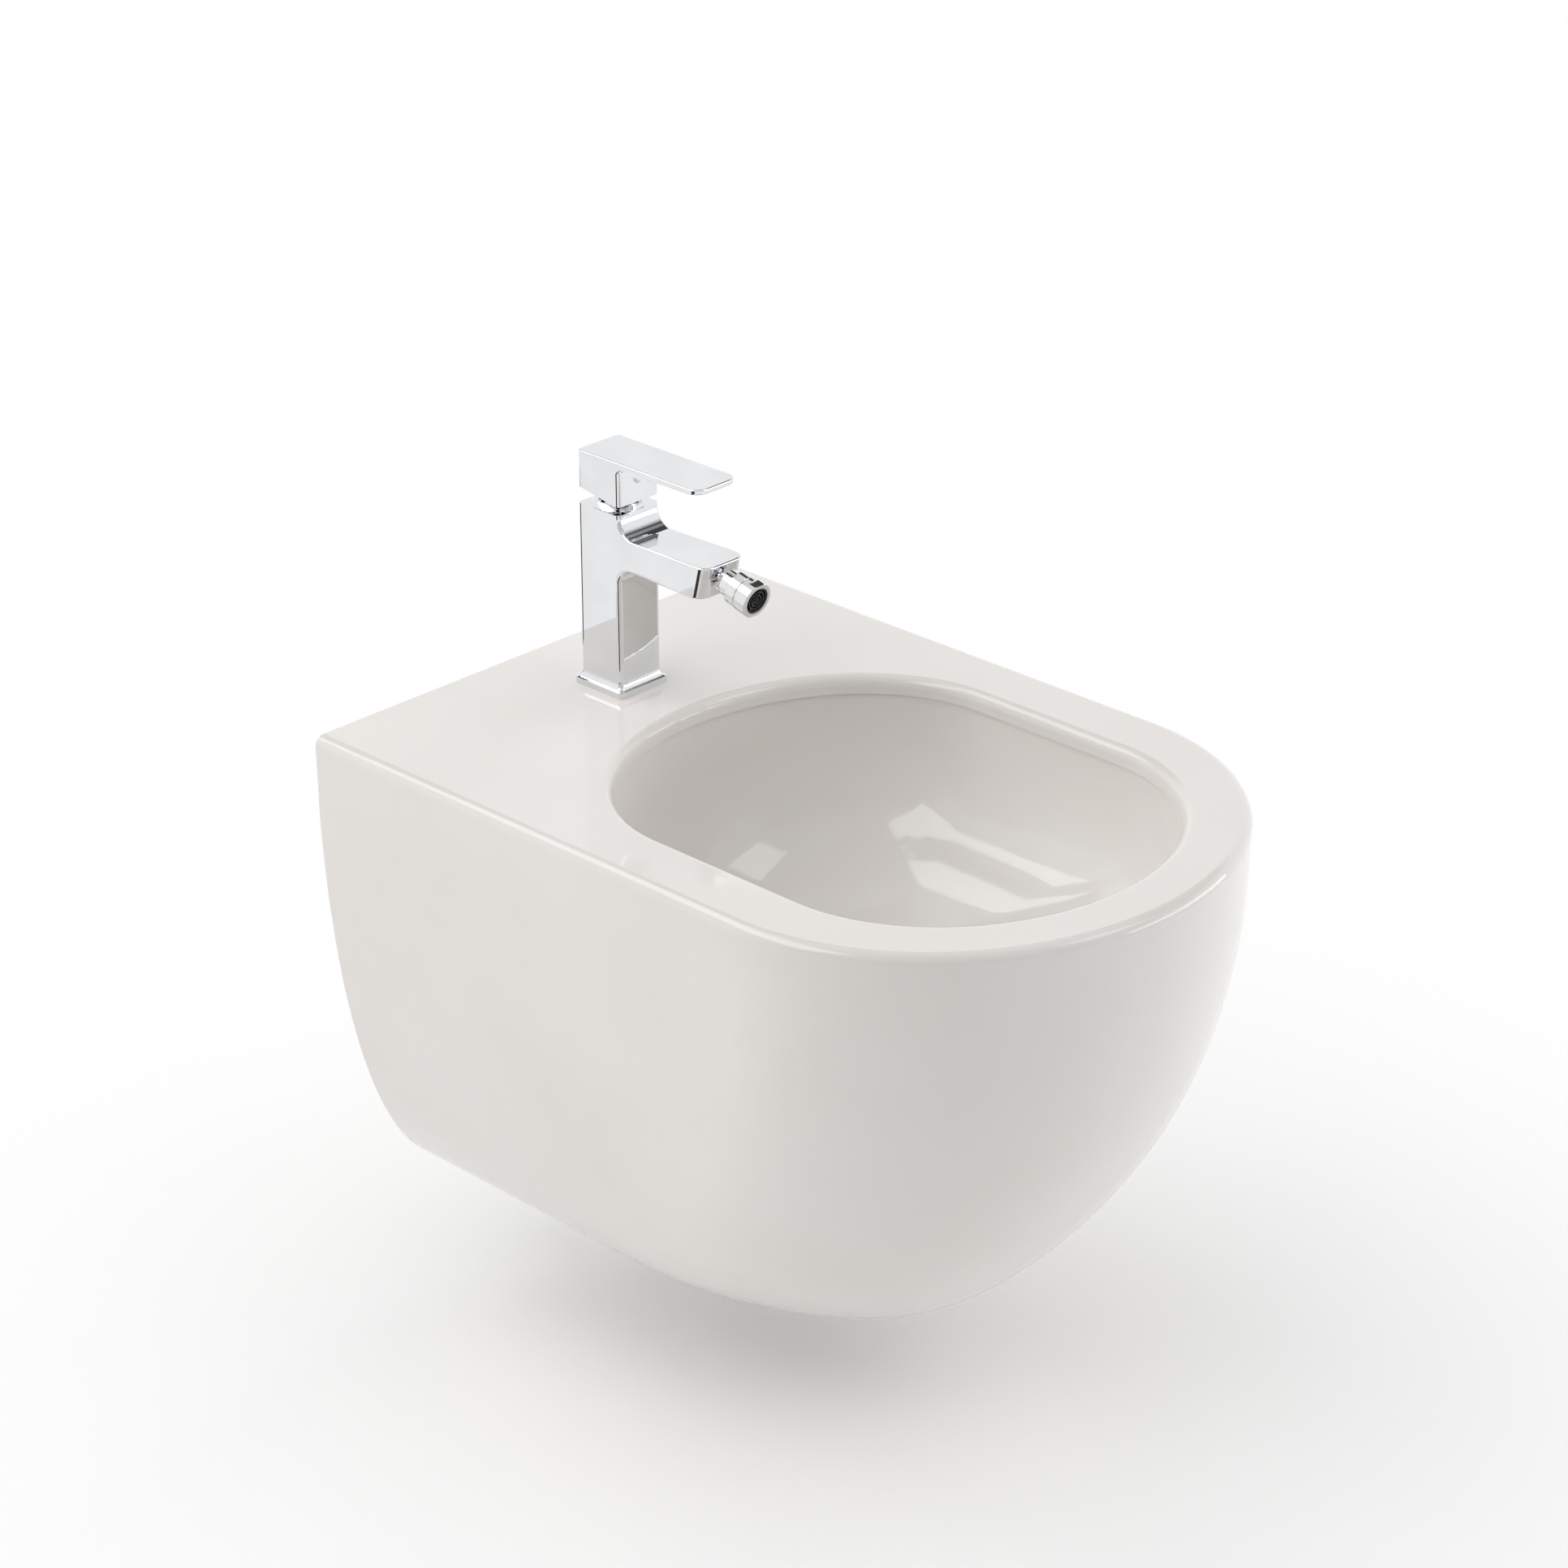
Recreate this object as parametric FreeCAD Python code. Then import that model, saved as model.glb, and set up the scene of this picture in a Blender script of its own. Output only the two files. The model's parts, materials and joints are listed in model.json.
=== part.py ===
import FreeCAD, Part
import math
import os

# Wall-hung bidet with a single-lever mixer and a push-to-close waste, in millimetres.
# The origin lies on the wall plane, midway between the two wall bolts.
# X runs to the right, Y into the wall and Z up, so the front of the bowl faces -Y.

# Outside of the ceramic
body_width = 360.0
body_depth = 500.0
body_height = 322.0
rim_above_bolts = 80.0
front_curve = 161.0
foot_half_width = 70.0
foot_depth = 340.0
foot_straight = 168.0
side_bulge = 2.12
side_roll = 2.34
front_bulge = 2.38
front_roll = 1.15
straight_fall = 3.0
rim_outer_round = 6.5
body_sections = 10

# Walls of the hollow casting
drain_flat_straight = 1.0
shell_wall = 11.0
deck_thickness = 14.0
foot_thickness = 16.0
back_plate = 20.0
access_half_width = 52.0
access_end = 292.0
recess_half_width = 62.0
recess_below_bolts = 45.0
recess_corner = 20.0

# Bowl
rim_side = 46.0
rim_front = 37.0
deck_depth = 131.0
bowl_back_curve = 109.0
bowl_front_curve = 115.0
rim_inner_round = 6.0
lip_height = 11.0
lip_overhang = 2.0
bowl_depth = 128.0
bowl_wall = 10.0
bowl_bulge = 3.2
bowl_roll = 1.35
bowl_sections = 9
drain_from_bowl_back = 104.0
drain_flat_radius = 37.0
drain_seat_depth = 4.0
drain_floor = 14.0
drain_boss_radius = 38.0

# Wall fixing
bolt_spacing = 180.0
bolt_radius = 6.0
bolt_play = 0.5
fixing_hole_radius = 10.0
sleeve_play = 0.2
sleeve_flange_radius = 15.0
sleeve_flange = 3.0
sleeve_end_gap = 0.5
fixing_washer_thickness = 2.5
fixing_nut_flats = 19.0
fixing_nut_height = 10.0

# Mixer body
tap_setback = 72.0
tap_hole_radius = 17.0
column_wall = 2.5
column_height = 116.0
base_overhang = 3.0
base_lip = 4.0
flare_height = 6.0
flare_sections = 5
edge_round = 3.0
spout_edge_round = 0.9
spout_reach = 89.0
spout_underside = 82.0
spout_thickness = 20.5
spout_upper_fillet = 12.0
spout_lower_fillet = 9.0
spout_tip_round = 8.0
spout_tip_tilt = 13.0
spout_channel_radius = 4.5
spout_channel_above_underside = 12.0
boss_radius = 16.0
boss_length = 5.0
seal_thickness = 1.2
seal_margin = 1.2
inlet_offset_x = 6.0
inlet_offset_y = 4.0
inlet_radius = 4.5
inlet_length = 12.0
inlet_port_radius = 2.6
stud_offset_y = 9.0
stud_radius = 4.0
stud_grip = 10.0
stud_length = 62.0
thread_gap = 0.1

# Nuts
nut_chamfer_angle = 30.0
nut_chamfer_inset = 0.5

# Under-deck clamp of the mixer
clamp_radius = 23.0
clamp_slot_half = 13.0
clamp_slot_end = 2.0
clamp_gasket_thickness = 3.0
clamp_plate_thickness = 3.0
stud_nut_flats = 13.0
stud_nut_height = 6.5

# Cartridge
cartridge_radius = 12.5
cartridge_play = 0.3
cartridge_bore_depth = 38.0
cartridge_seal_thickness = 1.5
cartridge_base_height = 4.0
cartridge_wall = 1.9
cartridge_top_flange = 2.5
cartridge_height = 31.5
nut_step = 2.0
nut_thread_depth = 10.0
nut_ring_height = 4.5
nut_neck_height = 3.1
nut_neck_step = 1.1
nut_bore_play = 1.5
nut_slot_width = 2.6
nut_slot_depth = 1.4
disc_thickness = 3.5
disc_inset = 4.5
port_inset = 6.5
carrier_height = 4.5
carrier_flat_cut = 1.0
running_gap = 0.2
guide_gap = 1.0
neck_step = 2.3
guide_neck_top = 113.0
guide_slot_half = 3.8
slot_front_wall = 1.3
slot_back_wall = 0.8
key_width = 2.3
key_half_length = 4.0
pivot_above_ball = 11.5
ball_end_radius = 2.8
ball_end_height = 3.5
pivot_pin_radius = 1.2
pin_inset = 1.4
pivot_play = 0.05
spindle_half = 3.5
spindle_rod_radius = 2.0
spindle_top = 140.5
lift_angle = 22.0

# Collar and lever handle
dome_overhang = 2.7
dome_wall = 1.1
dome_opening = 11.5
handle_gap_front = 5.1
handle_gap_back = 10.7
handle_top = 149.5
handle_wall = 3.0
handle_clearance = 0.6
lever_length = 100.0
lever_root = 4.5
lever_tip = 3.2
lever_tip_round = 8.0
lever_root_round = 3.0
lever_edge_round = 0.8
socket_play = 0.1
socket_boss_half = 6.5
screw_height = 136.5
screw_radius = 2.5
screw_length = 6.0
cap_radius = 3.8
cap_depth = 2.4
cap_proud = 0.4

# Ball-jointed nozzle, along its own axis from the middle of the ball
ball_radius = 5.8
ball_liner = 0.63
ball_gap = 0.07
seat_front_angle = 30.0
seat_back_angle = 62.0
seal_front_angle = 100.0
seal_back_angle = 126.0
tip_to_ball = 8.5
tip_recess_radius = 7.0
tip_recess_depth = 1.5
stem_thread_radius = 6.0
stem_thread_length = 9.0
stem_shoulder_radius = 6.6
stem_shoulder = 1.0
stem_neck_radius = 2.7
stem_bore_radius = 1.6
cap_ring_radius = 8.2
cap_ring_back = 4.3
cap_ring_front = 2.5
cap_thread_radius = 7.4
cap_thread_length = 2.5
swivel_radius = 10.5
swivel_front = 10.0
swivel_bore_radius = 3.0
ring_edge_round = 0.5
aerator_thread_radius = 9.0
aerator_thread_length = 4.0
aerator_radius = 11.0
aerator_front = 19.5
aerator_seam = 0.4
aerator_flats = 20.6
aerator_flat_length = 5.5
aerator_lip = 0.9
aerator_opening_radius = 8.3
aerator_gasket_thickness = 1.0
aerator_gasket_bore = 6.0
insert_plate = 1.8
insert_ring_width = 0.8
insert_ring_step = 2.1
insert_ring_height = 1.2
insert_rings = 4
insert_spokes = 6
insert_recess = 0.5

# Waste
waste_flange_radius = 31.5
waste_flange = 2.5
waste_gasket = 1.5
waste_gasket_radius = 30.0
waste_thread_radius = 20.95
waste_bore_radius = 17.5
waste_countersink = 3.0
waste_hole_play = 1.55
under_gasket_thickness = 5.0
under_gasket_radius = 30.0
friction_washer_thickness = 1.5
back_nut_flats = 52.0
back_nut_height = 9.5
waste_tail = 32.0
tail_groove = 2.0
tail_groove_depth = 0.8
spider_height = 8.0
spider_below_flange = 24.0
spider_hub_radius = 7.6
spider_arm_half = 1.5
spider_arms = 3
push_housing_radius = 5.0
push_housing_wall = 1.4
push_housing_above_hub = 8.0
push_housing_below_hub = 12.0
push_shoulder_radius = 7.0
push_shoulder = 2.0
push_cap_height = 2.0
plunger_rod_radius = 2.4
plunger_piston_radius = 3.4
plunger_piston_height = 4.0
plug_radius = 19.2
plug_edge = 2.5
plug_crown = 2.0
plug_boss_radius = 4.2
plug_boss_length = 8.0
plug_travel = 7.0
plug_sink = 1.0
plug_roof = 1.0
plug_seal_thickness = 1.8
plug_seal_width = 4.0
spring_radius = 2.6
spring_wire_radius = 0.35
spring_turns = 7

# Cuts run this far past the faces that they open
past = 1.0

# Sizes and places worked out from the ones above
top_z = rim_above_bolts
tap_y = -tap_setback
drain_y = -deck_depth - drain_from_bowl_back
side_straight = body_depth - front_curve
bowl_half = body_width / 2 - rim_side
bowl_front = -body_depth + rim_front
bowl_cut_y = drain_y - drain_boss_radius - bowl_wall
flange_top_z = top_z - bowl_depth
drain_seat_z = flange_top_z - drain_seat_depth
drain_under_z = drain_seat_z - drain_floor
spout_top = spout_underside + spout_thickness
nut_thread_radius = cartridge_radius + nut_step
nut_neck_radius = nut_thread_radius - nut_neck_step
column = 2 * (nut_thread_radius + column_wall)
base_width = column + 2 * base_overhang
dome_radius = column / 2 + dome_overhang
cartridge_bore_radius = cartridge_radius - cartridge_wall
guide_radius = cartridge_bore_radius - running_gap
guide_neck_radius = cartridge_bore_radius - neck_step
nut_bore_radius = guide_neck_radius + nut_bore_play
pivot_pin_half = guide_radius - pin_inset
moving_disc_radius = cartridge_radius - disc_inset
carrier_flat = moving_disc_radius - carrier_flat_cut
port_offset_x = cartridge_radius - port_inset
seat_z = column_height - cartridge_bore_depth
base_plate_z = seat_z + cartridge_seal_thickness
fixed_disc_z = base_plate_z + cartridge_base_height
moving_disc_z = fixed_disc_z + disc_thickness
carrier_z = moving_disc_z + disc_thickness
carrier_top = carrier_z + carrier_height
ball_end_z = carrier_z + ball_end_height
pivot_z = ball_end_z + pivot_above_ball
cartridge_top = base_plate_z + cartridge_height
nut_top = cartridge_top + nut_ring_height + nut_neck_height
disc_travel = pivot_above_ball * math.sin(math.radians(lift_angle))
disc_rest_y = disc_travel / 2
ball_recess_radius = ball_radius + ball_liner + 2 * ball_gap

X_AXIS = FreeCAD.Vector(1, 0, 0)
Y_AXIS = FreeCAD.Vector(0, 1, 0)
Z_AXIS = FreeCAD.Vector(0, 0, 1)


def at(x, y, z=0.0):
    return FreeCAD.Vector(x, y, z)


def line(start, end):
    return Part.LineSegment(start, end).toShape()


def quarter_ellipse(start, corner, end):
    """A quarter of an ellipse inside the square corner of its two tangents."""
    curve = Part.BezierCurve()
    curve.setPoles([start, corner, end])
    curve.setWeight(2, math.sqrt(0.5))
    return curve.toShape()


def quarter_circle(start, corner, end):
    """A quarter circle inside the square corner of its two tangents."""
    centre = start + end - corner
    middle = centre + (corner - centre).normalize() * (start - centre).Length
    return Part.Arc(start, middle, end).toShape()


def prism(edges, direction):
    return Part.Face(Part.Wire(edges)).extrude(direction)


def polygon_prism(points, direction):
    return Part.Face(Part.makePolygon(points + points[:1])).extrude(direction)


def rod(radius, bottom, top, x=0.0, y=0.0):
    return Part.makeCylinder(radius, top - bottom, at(x, y, bottom))


def ring(outer, inner, bottom, top, x=0.0, y=0.0):
    return rod(outer, bottom, top, x, y).cut(rod(inner, bottom - past, top + past, x, y))


def rod_along(radius, start, direction, length):
    return Part.makeCylinder(radius, length, start, direction)


def block(x0, x1, y0, y1, z0, z1):
    return Part.makeBox(x1 - x0, y1 - y0, z1 - z0, at(x0, y0, z0))


def hexagon(flats, bottom, top, x=0.0, y=0.0):
    radius = flats / math.sqrt(3)
    turns = [math.radians(60 * step) for step in range(6)]
    points = [at(x + radius * math.cos(turn), y + radius * math.sin(turn), bottom) for turn in turns]
    return polygon_prism(points, at(0, 0, top - bottom))


def hex_nut(flats, bottom, top, x=0.0, y=0.0):
    """A hexagon with its corners turned off at both faces, not yet bored."""
    face_radius, height = flats / 2 - nut_chamfer_inset, top - bottom
    edge_radius = face_radius + height / math.tan(math.radians(nut_chamfer_angle))
    lower = Part.makeCone(face_radius, edge_radius, height, at(x, y, bottom))
    upper = Part.makeCone(edge_radius, face_radius, height, at(x, y, bottom))
    return hexagon(flats, bottom, top, x, y).common(lower).common(upper)


def rounded_square(half, corner, z):
    """Edges of a square outline with round corners, centred on the Z axis."""
    flat = half - corner
    signs = [(1, 1), (-1, 1), (-1, -1), (1, -1)]
    edges = []
    for index, (sx, sy) in enumerate(signs):
        start = at(sx * half, sy * flat, z) if index % 2 == 0 else at(sx * flat, sy * half, z)
        end = at(sx * flat, sy * half, z) if index % 2 == 0 else at(sx * half, sy * flat, z)
        edges.append(quarter_circle(start, at(sx * half, sy * half, z), end))
        nx, ny = signs[(index + 1) % 4]
        following = at(nx * flat, ny * half, z) if index % 2 == 0 else at(nx * half, ny * flat, z)
        edges.append(line(end, following))
    return edges


def spherical_shell(outer, inner, bottom, top):
    """The slice of a hollow ball between two heights above its middle."""
    shell = Part.makeSphere(outer).cut(Part.makeSphere(inner))
    return shell.common(rod(outer + past, bottom, top))


def edges_where(shape, test):
    return [edge for edge in shape.Edges if test(edge)]


def near(value, target, tolerance=0.01):
    return abs(value - target) < tolerance


def round_edges(shape, radii):
    """Rounds edges listed as number, radius at the start and radius at the end."""
    document = FreeCAD.newDocument()
    base = document.addObject("Part::Feature")
    base.Shape = shape
    fillet = document.addObject("Part::Fillet")
    fillet.Base = base
    fillet.Edges = radii
    document.recompute()
    return fillet.Shape


def save(name, shapes):
    shapes = shapes if isinstance(shapes, list) else [shapes]
    shape = shapes[0] if len(shapes) == 1 else Part.makeCompound(shapes)
    shape.exportStep("parts/" + name + ".step")
    print(name, "solids", len(shape.Solids), "valid", shape.isValid(), "volume", round(shape.Volume, 1))


def on_tap(shape):
    """Moves a shape from the tap's own frame, deck level on the tap axis, to its place."""
    return shape.translated(at(0, tap_y, top_z))


# China body
def body_outline(depth, inset):
    """Outline of the body at a depth below the rim: straight sides and a half-elliptic front."""
    share = depth / body_height
    widening = (1 - share ** side_bulge) ** (1 / side_roll)
    lengthening = (1 - share ** front_bulge) ** (1 / front_roll)
    half = foot_half_width + (body_width / 2 - foot_half_width) * widening
    reach = foot_depth + (body_depth - foot_depth) * lengthening
    straight = side_straight + (foot_straight - side_straight) * share ** straight_fall
    half, reach = half - inset, reach - inset
    behind, z = shell_wall, top_z - depth
    edges = [
        line(at(half, behind, z), at(half, -straight, z)),
        quarter_ellipse(at(half, -straight, z), at(half, -reach, z), at(0, -reach, z)),
        quarter_ellipse(at(0, -reach, z), at(-half, -reach, z), at(-half, -straight, z)),
        line(at(-half, -straight, z), at(-half, behind, z)),
        line(at(-half, behind, z), at(half, behind, z)),
    ]
    return Part.Wire(edges)


def body_loft(first_depth, last_depth, inset):
    angles = [math.pi / 2 * step / body_sections for step in range(body_sections + 1)]
    depths = [first_depth + (last_depth - first_depth) * math.sin(angle) for angle in angles]
    return Part.makeLoft([body_outline(depth, inset) for depth in depths], True)


def bowl_outline(share, outset, depth_share):
    """Outline of the bowl: share 0 under the lip, 1 at the flat round the drain."""
    spread = (1 - share ** bowl_bulge) ** (1 / bowl_roll)
    z = top_z - lip_height - (bowl_depth - lip_height + outset) * depth_share

    def between(low, high):
        return low + (high - low) * spread

    half = between(drain_flat_radius, bowl_half + lip_overhang) + outset
    back = between(drain_y + drain_flat_radius, -deck_depth + lip_overhang) + outset
    front = between(drain_y - drain_flat_radius, bowl_front - lip_overhang) - outset
    back_straight = between(drain_y + drain_flat_straight, -deck_depth - bowl_back_curve)
    front_straight = between(drain_y - drain_flat_straight, bowl_front + bowl_front_curve)
    return oval_wire(half, back, back_straight, front_straight, front, z)


def oval_wire(half, back, back_straight, front_straight, front, z):
    edges = [
        line(at(half, back_straight, z), at(half, front_straight, z)),
        quarter_ellipse(at(half, front_straight, z), at(half, front, z), at(0, front, z)),
        quarter_ellipse(at(0, front, z), at(-half, front, z), at(-half, front_straight, z)),
        line(at(-half, front_straight, z), at(-half, back_straight, z)),
        quarter_ellipse(at(-half, back_straight, z), at(-half, back, z), at(0, back, z)),
        quarter_ellipse(at(0, back, z), at(half, back, z), at(half, back_straight, z)),
    ]
    return Part.Wire(edges)


def bowl_loft(outset):
    shares = [math.sin(math.pi / 2 * step / bowl_sections) for step in range(bowl_sections + 1)]
    return Part.makeLoft([bowl_outline(share, outset, share) for share in shares], True)


def service_recess():
    """Arch through the back plate, and the access slot through the underside."""
    low = top_z - body_height - past
    high = -recess_below_bolts
    half, corner = recess_half_width, recess_corner
    front, through = -back_plate - past, at(0, back_plate + 2 * past, 0)
    arch = prism([
        line(at(-half, front, low), at(half, front, low)),
        line(at(half, front, low), at(half, front, high - corner)),
        quarter_circle(at(half, front, high - corner), at(half, front, high),
                       at(half - corner, front, high)),
        line(at(half - corner, front, high), at(corner - half, front, high)),
        quarter_circle(at(corner - half, front, high), at(-half, front, high),
                       at(-half, front, high - corner)),
        line(at(-half, front, high - corner), at(-half, front, low)),
    ], through)
    slot_end = -access_end + access_half_width
    slot_top = low + foot_thickness + 2 * past
    slot = block(-access_half_width, access_half_width, slot_end, past, low, slot_top)
    return arch.fuse(slot).fuse(rod(access_half_width, low, slot_top, 0, slot_end))


def behind(y):
    """All the room behind a plane that faces the front."""
    return block(-body_width, body_width, y, body_width, -2 * body_height, 2 * body_height)


def china_casting():
    """The whole hollow casting, as it leaves the kiln."""
    outside = body_loft(0, body_height, 0).cut(behind(0))
    rim = edges_where(outside, lambda e: near(e.BoundBox.ZMin, top_z) and e.BoundBox.YMin < -past)
    outside = outside.makeFillet(rim_outer_round, rim)

    lip = oval_wire(bowl_half, -deck_depth, -deck_depth - bowl_back_curve, bowl_front + bowl_front_curve,
                    bowl_front, top_z + past)
    basin = Part.Face(lip).extrude(at(0, 0, -lip_height - 2 * past)).fuse(bowl_loft(0))
    flange_seat = waste_flange_radius + waste_hole_play
    basin = basin.fuse(rod(flange_seat, drain_seat_z, flange_top_z + past, 0, drain_y))
    china = outside.cut(basin)
    inner_rim = edges_where(china, lambda e: near(e.BoundBox.ZMin, top_z) and near(e.BoundBox.ZMax, top_z)
                            and e.BoundBox.YMax < -deck_depth / 2 and e.BoundBox.XMax < bowl_half + past
                            and e.BoundBox.XMin > -bowl_half - past)
    china = china.makeFillet(rim_inner_round, inner_rim)

    hollow = body_loft(deck_thickness, body_height - foot_thickness, shell_wall).cut(behind(-back_plate))
    hollow = hollow.cut(bowl_loft(bowl_wall))
    hollow = hollow.cut(rod(drain_boss_radius, drain_under_z, top_z, 0, drain_y))
    china = china.cut(hollow).cut(service_recess())

    waste_hole = waste_thread_radius + waste_hole_play
    china = china.cut(rod(waste_hole, drain_under_z - past, drain_seat_z + past, 0, drain_y))
    china = china.cut(rod(tap_hole_radius, top_z - deck_thickness - past, top_z + past, 0, tap_y))
    for side in (-1, 1):
        start = at(side * bolt_spacing / 2, -back_plate - past, 0)
        china = china.cut(rod_along(fixing_hole_radius, start, Y_AXIS, back_plate + 2 * past))
    return china


def save_china():
    """Saves the casting in sections that meet on plane faces, so that none goes right round a hollow."""
    china = china_casting()
    wide, front, low, high = body_width, -body_depth - past, top_z - body_height - past, top_z + past
    under_deck = top_z - deck_thickness
    save("china_deck", china.common(block(-wide, wide, -deck_depth, past, under_deck, high)))
    save("china_back", china.common(block(-wide, wide, -back_plate, past, low, under_deck)))
    for side, x0, x1 in (("left", -wide, 0), ("right", 0, wide)):
        save("china_" + side + "_rim", china.common(block(x0, x1, front, -deck_depth, under_deck, high)))
        lower = china.common(block(x0, x1, front, -back_plate, low, under_deck))
        shell, bowl = sorted(lower.Solids, key=lambda solid: solid.BoundBox.ZMin)
        save("china_" + side + "_shell", shell)
        save("china_" + side + "_bowl_back", bowl.common(behind(bowl_cut_y)))
        save("china_" + side + "_bowl_front", bowl.cut(behind(bowl_cut_y)))


# Wall fixing
def wall_fixing():
    """Sleeves, washers and nuts on the two wall bolts, in that order."""
    sleeves, washers, nuts = [], [], []
    bore = bolt_radius + bolt_play
    washer_face = back_plate + sleeve_flange
    nut_face = washer_face + fixing_washer_thickness
    turn = FreeCAD.Rotation(X_AXIS, 90)
    for side in (-1, 1):
        place = FreeCAD.Placement(at(side * bolt_spacing / 2, 0, 0), turn)
        sleeve = rod(fixing_hole_radius - sleeve_play, sleeve_end_gap, back_plate)
        sleeve = sleeve.fuse(rod(sleeve_flange_radius, back_plate, washer_face))
        sleeves.append(sleeve.cut(rod(bore, 0, washer_face + past)).removeSplitter())
        washers.append(ring(sleeve_flange_radius, bore, washer_face, nut_face))
        nut = hex_nut(fixing_nut_flats, nut_face, nut_face + fixing_nut_height)
        nuts.append(nut.cut(rod(bolt_radius, 0, nut_face + fixing_nut_height + past)))
        for piece in (sleeves[-1], washers[-1], nuts[-1]):
            piece.Placement = place
    return sleeves, washers, nuts


# Mixer body, in the tap's own frame
def spout_axis():
    tilt = math.radians(spout_tip_tilt)
    return at(0, -math.cos(tilt), -math.sin(tilt))


def spout_tip_centre():
    slope = math.tan(math.radians(spout_tip_tilt))
    return at(0, -spout_reach + slope * spout_thickness / 2, spout_underside + spout_thickness / 2)


def on_nozzle(shape):
    """Turns a shape modelled along +Z from the ball's middle to its place on the spout."""
    centre = spout_tip_centre() + spout_axis() * tip_to_ball
    placed = shape.copy()
    placed.Placement = FreeCAD.Placement(centre, FreeCAD.Rotation(X_AXIS, 90 + spout_tip_tilt))
    return on_tap(placed)


def column_and_spout():
    half = column / 2
    flare_top = base_lip + flare_height
    tip_low = -spout_reach + spout_thickness * math.tan(math.radians(spout_tip_tilt))
    upper, lower = spout_upper_fillet, spout_lower_fillet

    def side(y, z):
        return at(-half, y, z)

    shape = prism([
        line(side(half, flare_top), side(half, column_height)),
        line(side(half, column_height), side(-half, column_height)),
        line(side(-half, column_height), side(-half, spout_top + upper)),
        quarter_circle(side(-half, spout_top + upper), side(-half, spout_top),
                       side(-half - upper, spout_top)),
        line(side(-half - upper, spout_top), side(-spout_reach, spout_top)),
        line(side(-spout_reach, spout_top), side(tip_low, spout_underside)),
        line(side(tip_low, spout_underside), side(-half - lower, spout_underside)),
        quarter_circle(side(-half - lower, spout_underside), side(-half, spout_underside),
                       side(-half, spout_underside - lower)),
        line(side(-half, spout_underside - lower), side(-half, flare_top)),
        line(side(-half, flare_top), side(half, flare_top)),
    ], at(column, 0, 0))
    tip = edges_where(shape, lambda e: e.BoundBox.YMax < tip_low + past and e.BoundBox.ZLength > past)
    shape = shape.makeFillet(spout_tip_round, tip)
    return round_edges(shape, column_edge_radii(shape))


def column_edge_radii(shape):
    """The column's broad edge rounds run out along the hollow curves to the spout's fine ones."""
    half = column / 2
    radii = []
    for number, edge in enumerate(shape.Edges, 1):
        box = edge.BoundBox
        on_side = near(box.XLength, 0) and near(abs(box.XMin), half)
        level = near(box.ZLength, 0)
        on_spout = level and (near(box.ZMin, spout_top) or near(box.ZMin, spout_underside))
        if on_spout and not near(box.XLength, column):
            radii.append((number, spout_edge_round, spout_edge_round))
        elif on_side and near(box.YLength, 0):
            radii.append((number, edge_round, edge_round))
        elif on_side and isinstance(edge.Curve, Part.Circle):
            ends = [edge_round if near(end.Y, -half) else spout_edge_round for end in edge.Vertexes]
            radii.append((number, ends[0], ends[1]))
    return radii


def base_flare():
    """Square foot of the column, with a hollow curve up to the column's own section."""
    grow = (base_width - column) / 2
    sections = []
    for step in range(flare_sections + 1):
        rise = step / flare_sections
        out = grow * (1 - math.sqrt(1 - (1 - rise) ** 2))
        outline = rounded_square(column / 2 + out, edge_round, base_lip + flare_height * rise)
        sections.append(Part.Wire(outline))
    lip = prism(rounded_square(base_width / 2, edge_round, 0), at(0, 0, base_lip))
    return lip.fuse(Part.makeLoft(sections, True))


def mixer_body():
    shape = column_and_spout().fuse(base_flare())
    shape = shape.fuse(rod(boss_radius, -boss_length, seal_thickness))
    room_outline = rounded_square(base_width / 2 - seal_margin, edge_round, -past)
    gasket_room = prism(room_outline, at(0, 0, past + seal_thickness))
    shape = shape.cut(gasket_room.cut(rod(boss_radius, -2 * past, seal_thickness)))

    shape = shape.cut(rod(cartridge_radius + cartridge_play, seat_z, column_height + past))
    shape = shape.cut(rod(nut_thread_radius, column_height - nut_thread_depth, column_height + past))
    for side in (-1, 1):
        x = side * inlet_offset_x
        inlet_end = inlet_length - boss_length
        shape = shape.cut(rod(inlet_radius, -boss_length - past, inlet_end, x, inlet_offset_y))
        shape = shape.cut(rod(inlet_port_radius, 0, seat_z + past, side * port_offset_x, inlet_offset_y))
    shape = shape.cut(rod(stud_radius + thread_gap, -boss_length - past, stud_grip, 0, -stud_offset_y))

    tip, axis = spout_tip_centre(), spout_axis()
    bore_depth = tip_recess_depth + stem_thread_length
    outside = tip + axis * past
    shape = shape.cut(rod_along(tip_recess_radius, outside, axis * -1, tip_recess_depth + past))
    shape = shape.cut(rod_along(stem_thread_radius + thread_gap, outside, axis * -1, bore_depth + past))
    channel_end = tip - axis * (bore_depth - spout_channel_radius)
    channel_z = spout_underside + spout_channel_above_underside
    start = at(0, channel_end.y, channel_z)
    shape = shape.cut(rod_along(spout_channel_radius, start, Y_AXIS, abs(channel_end.y) - cartridge_radius))
    return shape.removeSplitter()


def base_seal():
    outline = rounded_square(base_width / 2 - seal_margin - thread_gap, edge_round, 0)
    seal = prism(outline, at(0, 0, seal_thickness))
    return seal.cut(rod(tap_hole_radius - seal_margin / 2, -past, seal_thickness + past))


def clamp_shape(thickness, top):
    """Horseshoe under the deck: a disc with a slot for the supplies and a hole for the stud."""
    disc = rod(clamp_radius, top - thickness, top)
    disc = disc.cut(block(-clamp_slot_half, clamp_slot_half, -clamp_slot_end, clamp_radius + past,
                          top - thickness - past, top + past))
    return disc.cut(rod(stud_radius + thread_gap, top - thickness - past, top + past, 0, -stud_offset_y))


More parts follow.
